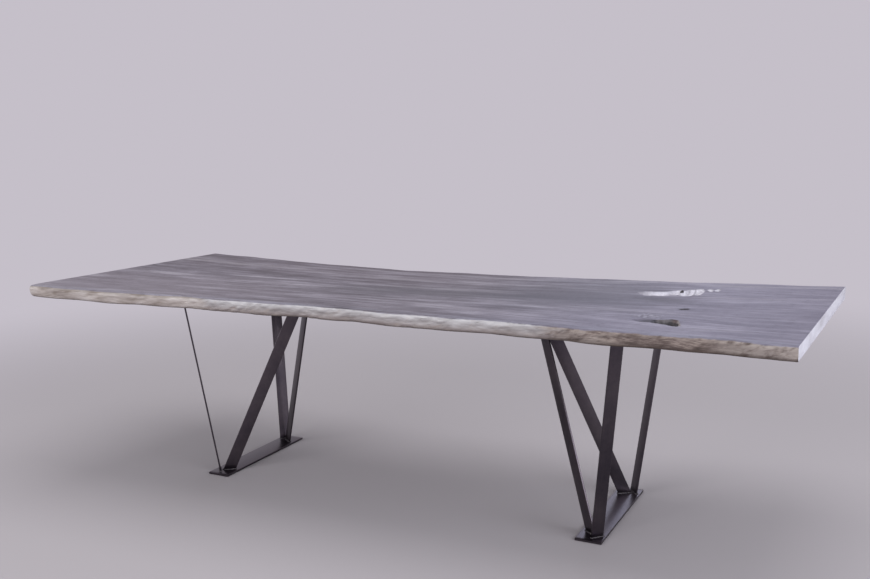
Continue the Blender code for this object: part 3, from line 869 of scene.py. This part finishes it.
def knot_hollow_wood():
    """The knot's hollow: grey-brown raw wood, redder then lighter toward its right wall, with painted shade
    nearly black in its floor and dark in its left tip, and nearly black in the small checks."""
    p = Paint(bpy.data.materials.new("knot_hollow_wood"))
    x, y, z = p.place()
    ridge = p.noise((x * 22.0, y * 22.0, z * 90.0), 5.0, 0.6)
    fine = p.noise((x * 90.0, y * 140.0, z * 300.0), 3.0, 0.6)
    colour = p.ramp(
        ridge * 0.75 + fine * 0.3,
        (0.36, (0.058, 0.051, 0.057)),
        (0.52, (0.14, 0.126, 0.136)),
        (0.7, (0.225, 0.206, 0.216)),
    )
    side = x - y * 0.2 + (ridge - 0.5) * 0.012
    # painted shade: the left tip dark
    left_tip_shade = p.step(x + (ridge - 0.5) * 0.02, 0.958, 0.94)
    # painted shade: the deep floor nearly black, away from the right wall
    deep = p.step(z + (ridge - 0.5) * 0.008, 0.755, 0.7465) * p.step(side, 1.084, 1.066)
    checks = p.step(y, -0.2, -0.12)
    colour = p.coats(
        colour,
        (p.step(side, 1.04, 1.054) * 0.6, (0.16, 0.105, 0.098)),
        (p.step(side, 1.058, 1.072) * 0.9, (0.42, 0.382, 0.4)),
        # painted shade in the left tip
        (left_tip_shade * 0.9, (0.04, 0.038, 0.054)),
        # painted shade in the floor, and the small checks nearly black
        (p.most(deep * 0.92, checks), (0.03, 0.026, 0.032)),
    )
    return p.surface(
        Base_Color=colour,
        Roughness=0.42 + fine * 0.3,
        Normal=p.bump(ridge + fine * 0.4, 0.8, 0.0025),
    )


def blackened_steel(name, along_uv):
    """Hot-rolled flat bar, blackened and waxed: a dark brown-violet skin with drawn marks along the bar."""
    p = Paint(bpy.data.materials.new(name))
    x, y, z = p.place()
    u, v = p.uv("bar") if along_uv else (x + y * 0.3, y + z)
    cloud = p.lumps((x, y, z), 7.0, 4.0, 0.55)
    scale = p.lumps((x, y, z), 70.0, 4.0, 0.62)
    drawn = p.noise((u * 420.0, v * 7.0), 3.0, 0.6)
    colour = p.ramp(
        cloud * 0.7 + scale * 0.2 + drawn * 0.15,
        (0.36, (0.062, 0.054, 0.067)),
        (0.53, (0.086, 0.073, 0.085)),
        (0.72, (0.112, 0.096, 0.106)),
    )
    rust = p.step(cloud, 0.58, 0.78) * p.step(scale, 0.52, 0.68)
    return p.surface(
        Base_Color=p.mix(rust * 0.35, colour, (0.085, 0.058, 0.05)),
        Metallic=1.0 - rust * 0.3,
        Roughness=0.19 + cloud * 0.12 + scale * 0.08 + drawn * 0.06 + rust * 0.12,
        Normal=p.bump(drawn * 0.4 + scale * 0.45 + cloud * 0.5, 0.18, 0.0006),
    )


def weld_steel():
    """Brushed weld bead, blackened with the rest: dull grey crests, dark between, faint heat tints."""
    p = Paint(bpy.data.materials.new("weld_steel"))
    place = p.place()
    spot = p.lumps(place, 160.0, 4.0, 0.6)
    tint = p.lumps(place, 40.0, 2.0)
    colour = p.ramp(
        spot * 0.6 + tint * 0.4,
        (0.38, (0.05, 0.045, 0.052)),
        (0.52, (0.11, 0.102, 0.108)),
        (0.68, (0.19, 0.18, 0.185)),
    )
    return p.surface(
        Base_Color=p.mix(p.step(tint, 0.55, 0.7) * 0.3, colour, (0.15, 0.11, 0.085)),
        Metallic=1.0,
        Roughness=0.4 + spot * 0.25,
        Normal=p.bump(spot, 0.4, 0.0006),
    )


def zinc_steel():
    """Bright zinc plate: cool grey with a faint spangle and dull handling marks."""
    p = Paint(bpy.data.materials.new("zinc_steel"))
    place = p.place()
    spangle = p.cells(place, 700.0)
    dull = p.lumps(place, 260.0, 4.0, 0.6)
    colour = p.ramp(
        dull * 0.7 + spangle * 0.4,
        (0.3, (0.38, 0.385, 0.39)),
        (0.55, (0.5, 0.505, 0.512)),
        (0.8, (0.6, 0.605, 0.61)),
    )
    return p.surface(
        Base_Color=colour,
        Metallic=1.0,
        Roughness=0.28 + dull * 0.22,
        Normal=p.bump(dull, 0.25, 0.0003),
    )


def insert_brass():
    """Turned brass: fine rings from the tool and slight tarnish."""
    p = Paint(bpy.data.materials.new("insert_brass"))
    x, y, z = p.place()
    turned = p.noise((x * 30.0, y * 30.0, z * 2600.0), 2.0)
    tarnish = p.lumps((x, y, z), 220.0, 4.0, 0.6)
    return p.surface(
        Base_Color=p.ramp(tarnish, (0.35, (0.33, 0.235, 0.1)), (0.65, (0.6, 0.46, 0.21))),
        Metallic=1.0,
        Roughness=0.26 + tarnish * 0.25,
        Normal=p.bump(turned, 0.3, 0.0003),
    )


def rounded_rectangle(half_a, half_b, radius, steps=5):
    """A rectangle's outline, anticlockwise, each corner an arc: its middle plus radius times (cos, sin)."""
    turn = np.linspace(0.0, math.pi / 2, steps)
    corners = []
    for quarter, (sign_a, sign_b) in enumerate(((1, 1), (-1, 1), (-1, -1), (1, -1))):
        angle = turn + quarter * math.pi / 2
        a = sign_a * (half_a - radius) + radius * np.cos(angle)
        b = sign_b * (half_b - radius) + radius * np.sin(angle)
        corners.append(np.stack([a, b], -1))
    return np.concatenate(corners)


def bar_piece(name, half_a, half_b, way_a, way_b, start, finish, paint):
    """A flat bar: a rounded rectangle in the plane of way_a and way_b, carried from start to finish.

    The two end rings draw in by the arris. The UV map, bar, is the way round by the length, in metres."""
    way_a, way_b, start, finish = map(np.array, (way_a, way_b, start, finish))
    length = np.linalg.norm(finish - start)
    share = np.concatenate([[0.0], np.linspace(ARRIS / length, 1.0 - ARRIS / length, BAR_STATIONS), [1.0]])
    full = rounded_rectangle(half_a, half_b, ARRIS)
    outline = np.repeat(full[None], len(share), 0)
    outline[[0, -1]] = rounded_rectangle(half_a - ARRIS * 0.7, half_b - ARRIS * 0.7, ARRIS * 0.3)
    middle = start + (finish - start) * share[:, None]
    points = middle[:, None] + outline[..., :1] * way_a + outline[..., 1:] * way_b
    rows, columns = points.shape[:2]
    steps = np.linalg.norm(np.diff(np.concatenate([full, full[:1]]), axis=0), axis=1)
    around = np.concatenate([[0.0], np.cumsum(steps)])
    one = np.arange(columns)
    u = np.tile(around[np.stack([one, one, one + 1, one + 1], -1)], (rows - 1, 1))
    v = (share * length)[np.repeat(np.arange(rows - 1), columns)[:, None] + (0, 1, 1, 0)]
    order = -1 if np.dot(np.cross(way_a, way_b), finish - start) > 0 else 1
    quads = grid_faces(rows, columns, around=True)[:, ::order]
    caps = [one[::order].tolist(), ((rows - 1) * columns + one[::-order]).tolist()]
    side_uv = np.stack([u, v], -1)[:, ::order].reshape(-1, 2)
    cap_uv = np.concatenate([outline[0, ::order], outline[-1, ::-order]]) + 0.01
    uv = np.concatenate([side_uv, cap_uv])
    return make_piece(name, points.reshape(-1, 3), quads.tolist() + caps, uv, "bar", [paint], sharp=50.0)


def bead_piece(name, half_a, half_b, way_a, way_b, middle, slide, up, paint, seed):
    """A weld round a leg's end: a quarter-round bead carried round the bar's outline, rippled along its run.

    It stands on the plate at middle, grows along up (+1 or -1 in Z), and slides with the bar's lean."""
    s, _, line = even_line(rounded_rectangle(half_a, half_b, BEAD_CORNER, 4), BEAD_STATIONS)
    ahead = np.roll(line, -1, 0) - np.roll(line, 1, 0)
    ahead = ahead / np.linalg.norm(ahead, axis=1, keepdims=True)
    out = np.stack([ahead[:, 1], -ahead[:, 0]], -1)
    ripple = 0.1 * np.abs(np.sin(math.pi * s / RIPPLE_PITCH)) + 0.14 * smooth_field(s / 0.013, s * 0.0, seed)
    size = BEAD * (0.92 + ripple)[:, None]
    t = np.linspace(0.0, math.pi / 2, BEAD_STEPS)[None, :]
    reach = np.concatenate([size * np.cos(t), np.full((len(s), 1), -BEAD_ROOT)], 1)
    height = np.concatenate([size * np.sin(t), np.zeros((len(s), 1))], 1)
    flat = line[:, None] + out[:, None] * reach[..., None]
    points = middle + flat[..., :1] * way_a + flat[..., 1:] * way_b
    points = points + height[..., None] * ((0.0, 0.0, up) + slide * up / LEG_RISE)
    rows, columns = points.shape[:2]
    quads = grid_faces(rows + 1, columns, around=True) % (rows * columns)
    order = -1 if np.cross(way_a, way_b)[2] * up < 0 else 1
    return make_piece(name, points.reshape(-1, 3), quads[:, ::order].tolist(), paint=[paint], sharp=60.0)


def settle(piece, slot, *nodes):
    """The piece rides on the table and stands for these CAD nodes, which it hides; slot is not used."""
    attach(piece, "root")
    if nodes:
        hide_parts(*nodes)


def build_slab():
    """The live-edge slab with its natural hollows."""
    finishes = [slab_wood(), pale_hollow_wood(), knot_hollow_wood()]
    slab = make_piece("live_edge_slab", *slab_mesh(), paint=finishes)
    cut_hollows(slab, natural_hollows())
    settle(slab, "tabletop_wood", "tabletop_slab")


def build_leg(name, way, level, across, foot, lean, steel, weld):
    """One leg: a bar, level by across, that leans along way from its foot, with a bead at each end."""
    cross = np.array([-way[1], way[0], 0.0])
    slide = way * lean
    top = foot + slide + (0.0, 0.0, LEG_RISE)
    bar = bar_piece(f"{name}_bar", level / 2, across / 2, way, cross, foot, top, steel)
    settle(bar, "blackened_steel", f"{name}_leg")
    seed = len(name) + int(1000 * abs(foot[0] + 2 * foot[1]))
    beads = (
        ("foot", (foot[0], foot[1], SOLE_THICK), 1, seed),
        ("top", (top[0], top[1], LEG_TOP + SEAT_GAP), -1, seed + 1),
    )
    for end, middle, up, own in beads:
        weld_name = f"{name}_{end}_weld"
        bead = bead_piece(weld_name, level / 2, across / 2, way, cross, middle, slide, up, weld, own)
        settle(bead, "blackened_steel")


def build_legs(side, x, inward, steel, weld):
    """The four legs of one base: at each end an outer one, flat across its lean, and an inner one on edge."""
    outer_level = BAR_THICK * math.hypot(1.0, OUTER_LEAN / LEG_RISE)
    inner_level = BAR_WIDTH * math.hypot(1.0, INNER_LEAN / LEG_RISE)
    for end, front in (("front", -1), ("rear", 1)):
        outer_way = np.array([math.cos(OUTER_TURN) * inward, -math.sin(OUTER_TURN) * front, 0.0])
        inner_way = np.array([math.cos(INNER_TURN) * inward, -math.sin(INNER_TURN) * front, 0.0])
        outer_foot = np.array(BASE_MIDDLE) + (x - FOOT_X * inward, FOOT_Y * front, LEG_FOOT)
        inner_foot = outer_foot + outer_way * (outer_level / 2 + FOOT_GAP) + inner_way * inner_level / 2
        name = f"{side}_{end}"
        build_leg(f"{name}_outer", -outer_way, outer_level, BAR_WIDTH, outer_foot, OUTER_LEAN, steel, weld)
        build_leg(f"{name}_inner", inner_way, inner_level, BAR_THICK, inner_foot, INNER_LEAN, steel, weld)


def build_base(side, inward, steel, weld):
    """One base: four legs on a flat bar that lies on the floor."""
    x = -inward * BASE_SPACING / 2
    build_legs(side, x, inward, steel, weld)
    middle = np.array([BASE_MIDDLE[0] + x, BASE_MIDDLE[1], SOLE_THICK / 2])
    half = np.array([0.0, SOLE_LENGTH / 2, 0.0])
    along_x, along_z = (1.0, 0.0, 0.0), (0.0, 0.0, 1.0)
    start, finish = middle - half, middle + half
    name = f"{side}_sole_bar"
    sole = bar_piece(name, SOLE_WIDTH / 2, SOLE_THICK / 2, along_x, along_z, start, finish, steel)
    settle(sole, "blackened_steel", f"{side}_floor_plate")


def dress_hidden_fixings():
    """Gives the CAD nodes that stay, the top bars and the fixings, their finishes."""
    steel = blackened_steel("top_bar_steel", False)
    zinc = zinc_steel()
    brass = insert_brass()
    for name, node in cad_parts.items():
        if "bolt" in name or "washer" in name:
            finish = zinc
        elif "insert" in name:
            finish = brass
        elif name.endswith(("cross_bar", "apex_plate", "spine_bar")):
            finish = steel
        else:
            continue
        for slot in node.material_slots:
            slot.material = finish


def set_camera():
    """A camera turned left, tipped down and slightly rolled."""
    level = math.cos(CAMERA_PITCH)
    ahead = np.array([math.sin(CAMERA_YAW) * level, math.cos(CAMERA_YAW) * level, -math.sin(CAMERA_PITCH)])
    right = np.array([math.cos(CAMERA_YAW), -math.sin(CAMERA_YAW), 0.0])
    down = np.cross(ahead, right)
    matrix = np.eye(4)
    matrix[:3, 0] = math.cos(CAMERA_ROLL) * right + math.sin(CAMERA_ROLL) * down
    matrix[:3, 1] = math.sin(CAMERA_ROLL) * right - math.cos(CAMERA_ROLL) * down
    matrix[:3, 2] = -ahead
    matrix[:3, 3] = CAMERA_PLACE
    data = bpy.data.cameras.new("camera")
    data.lens = LENS
    data.sensor_width = SENSOR
    camera = add_object("camera", data)
    camera.matrix_world = matrix.T.tolist()
    bpy.context.scene.camera = camera


def soft_box(name, place, target, size, power, colour=(1.0, 1.0, 1.0)):
    """A rectangular studio lamp at place that looks at target."""
    data = bpy.data.lights.new(name, "AREA")
    data.shape = "RECTANGLE"
    data.size, data.size_y = size
    data.energy = power
    data.color = colour
    lamp = add_object(name, data)
    lamp.visible_camera = False
    lamp.location = place
    aim = np.subtract(target, place)
    flat = math.hypot(*aim[:2])
    lamp.rotation_euler = (math.atan2(flat, -aim[2]), 0.0, math.atan2(aim[1], aim[0]) - math.pi / 2)


def seen_share(p):
    """1 for rays from the camera and for those that metal or glass send on, else 0."""
    seen = p.node("ShaderNodeLightPath", out="Is Camera Ray")
    for ray in ("Is Glossy Ray", "Is Transmission Ray"):
        seen = p.most(seen, p.node("ShaderNodeLightPath", out=ray))
    return seen


def lay_floor():
    """A pale floor that fades with distance into the backdrop's colour where it is seen."""
    p = Paint(bpy.data.materials.new("studio_floor"))
    x, y, _ = p.place()
    lit = p.principled(Base_Color=FLOOR_COLOUR, Roughness=0.85, Specular_IOR_Level=0.15)
    far = p.node("ShaderNodeEmission", sockets={"Color": BACKDROP, "Strength": 1.0})
    share = p.step((x * x + y * y) ** 0.5, FADE_START, FADE_END) * seen_share(p)
    both = p.node("ShaderNodeMixShader", sockets={0: share, 1: lit, 2: far})
    p.node("ShaderNodeOutputMaterial", sockets={"Surface": both})
    square = np.array([(-1, -1, 0), (1, -1, 0), (1, 1, 0), (-1, 1, 0)])
    corners = square * FLOOR_REACH - (0.0, 0.0, FLOOR_DROP)
    make_piece("studio_floor", corners, [[0, 1, 2, 3]], paint=[p.owner])


def hang_backdrop():
    """A world that lights with soft grey and shows the backdrop's colour where it is seen."""
    world = bpy.data.worlds.new("studio")
    bpy.context.scene.world = world
    p = Paint(world)
    soft = p.node("ShaderNodeBackground", sockets={"Color": FILL_COLOUR})
    pale = p.node("ShaderNodeBackground", sockets={"Color": BACKDROP})
    both = p.node("ShaderNodeMixShader", sockets={0: seen_share(p), 1: soft, 2: pale})
    p.node("ShaderNodeOutputWorld", sockets={"Surface": both})


def set_studio():
    """Floor, backdrop and four soft lamps: right, front left, overhead and behind."""
    bpy.context.scene.view_settings.view_transform = "Standard"
    lay_floor()
    hang_backdrop()
    soft_box("side_lamp", (5.0, -1.5, 2.2), (0.6, 0.0, 0.7), (4.2, 2.0), 150.0, (0.92, 0.95, 1.0))
    soft_box("front_fill_lamp", (-2.6, -5.2, 2.9), (-0.2, 0.0, 0.6), (3.2, 2.4), 130.0)
    soft_box("overhead_lamp", (0.0, 0.3, 4.6), (0.0, 0.0, 0.7), (4.5, 3.0), 90.0)
    soft_box("rear_lamp", (-0.9, 7.0, 3.4), (0.7, 0.0, 0.2), (3.0, 1.4), 32.0, (0.72, 0.8, 1.0))


def main():
    set_camera()
    set_studio()
    build_slab()
    steel = blackened_steel("blackened_steel_bar", True)
    weld = weld_steel()
    for side, inward in (("left", 1), ("right", -1)):
        build_base(side, inward, steel, weld)
    dress_hidden_fixings()


main()
